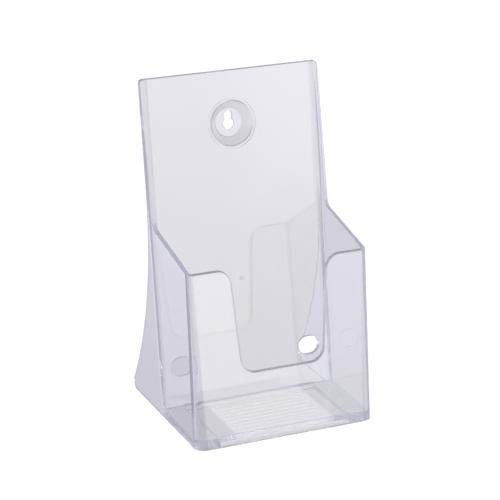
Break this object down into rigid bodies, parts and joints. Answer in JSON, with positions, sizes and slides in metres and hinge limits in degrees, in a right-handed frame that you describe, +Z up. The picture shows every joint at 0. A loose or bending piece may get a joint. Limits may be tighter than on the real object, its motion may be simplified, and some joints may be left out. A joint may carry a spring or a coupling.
{
  "type": "brochure rack",
  "caption": "Clear leaning leaflet holder with a cut-out front pocket, sweeping rear legs and a keyhole for hanging on a wall.",
  "frame": {"origin": "centre of the footprint on the table, midway between the side walls and midway between the front wall and the rear feet", "axes": "+Z up, +X to the right as seen from the pocket side, +Y from the pocket towards the rear feet"},
  "size_m": [0.11, 0.0967, 0.192],
  "materials": {
    "clear_polystyrene": "polished, fully transparent, faint violet-grey tint"
  },
  "bodies": {
    "root": {"back_panel": "clear_polystyrene", "front_wall": "clear_polystyrene", "keyhole_cup": "clear_polystyrene", "left_foot_rail": "clear_polystyrene", "left_side_wall": "clear_polystyrene", "pocket_floor": "clear_polystyrene", "right_foot_rail": "clear_polystyrene", "right_side_wall": "clear_polystyrene"}
  },
  "joints": []
}
